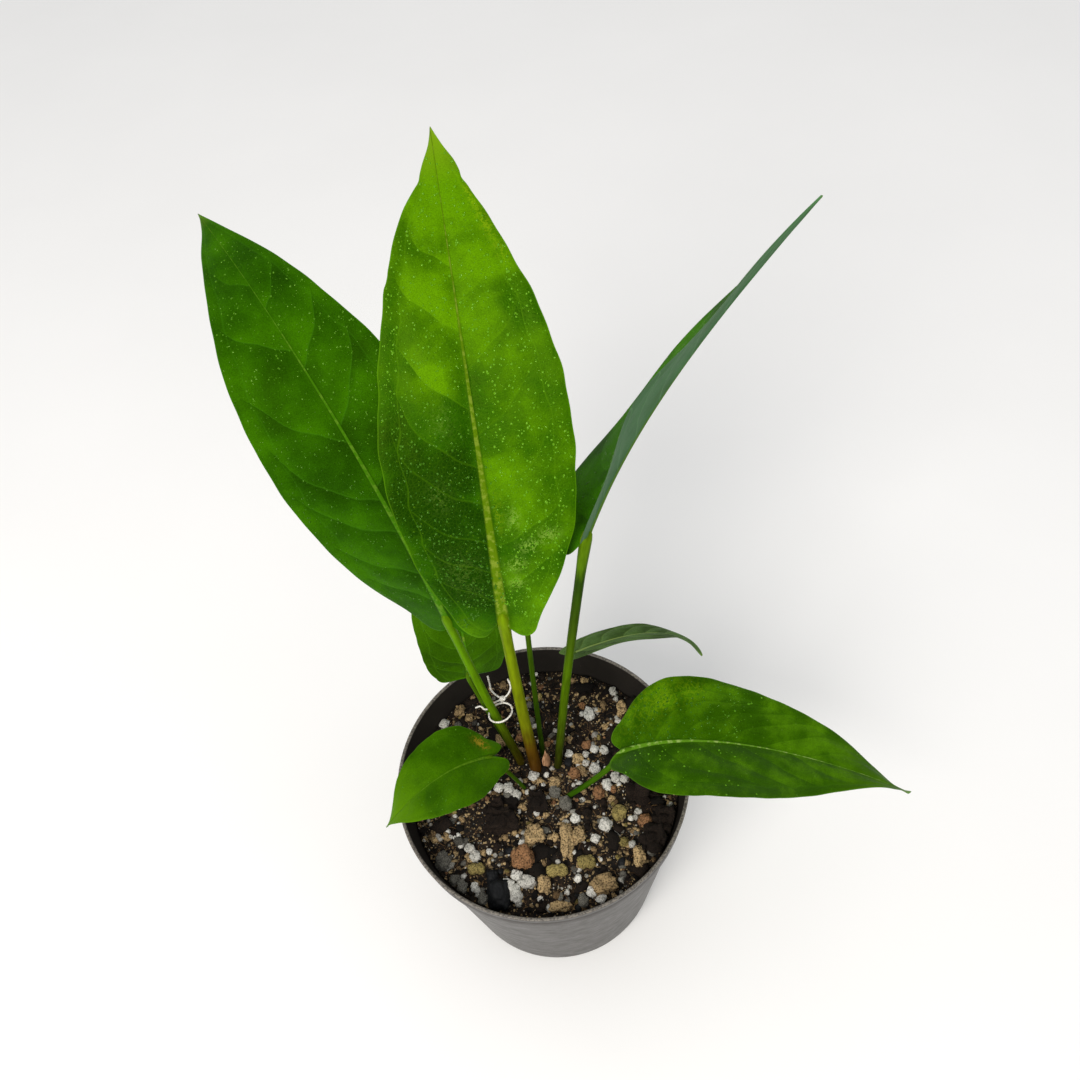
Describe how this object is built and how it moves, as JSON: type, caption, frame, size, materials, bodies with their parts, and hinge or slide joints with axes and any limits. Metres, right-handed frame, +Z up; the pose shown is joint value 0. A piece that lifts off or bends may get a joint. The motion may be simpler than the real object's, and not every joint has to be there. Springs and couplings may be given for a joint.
{
  "type": "potted anthurium plant",
  "caption": "Foliage plant with long-stalked, pointed heart-shaped leaves standing in a round tapered nursery pot of coarse mix.",
  "frame": {"origin": "centre of the pot's underside, on the surface that it stands on", "axes": "+Z up along the pot's axis, +X to the right and -Y towards the viewer as in the picture"},
  "size_m": [0.2264, 0.1896, 0.3157],
  "materials": {
    "pot": "satin",
    "mix": "matte",
    "blade": "satin",
    "stalk": "satin",
    "scale": "matte",
    "thread": "matte"
  },
  "bodies": {
    "root": {"blade_centre": "blade", "blade_left": "blade", "blade_right": "blade", "blade_low_left": "blade", "blade_front_left": "blade", "blade_front_right": "blade", "blade_back_right": "blade", "blade_back": "blade", "stalk_centre": "stalk", "stalk_left": "stalk", "stalk_right": "stalk", "stalk_low_left": "stalk", "stalk_front_left": "stalk", "stalk_front_right": "stalk", "stalk_back_right": "stalk", "stalk_back": "stalk", "scale_leaf": "scale", "thread_tie": "thread", "potting_mix": "mix", "pot": "pot"}
  },
  "joints": []
}
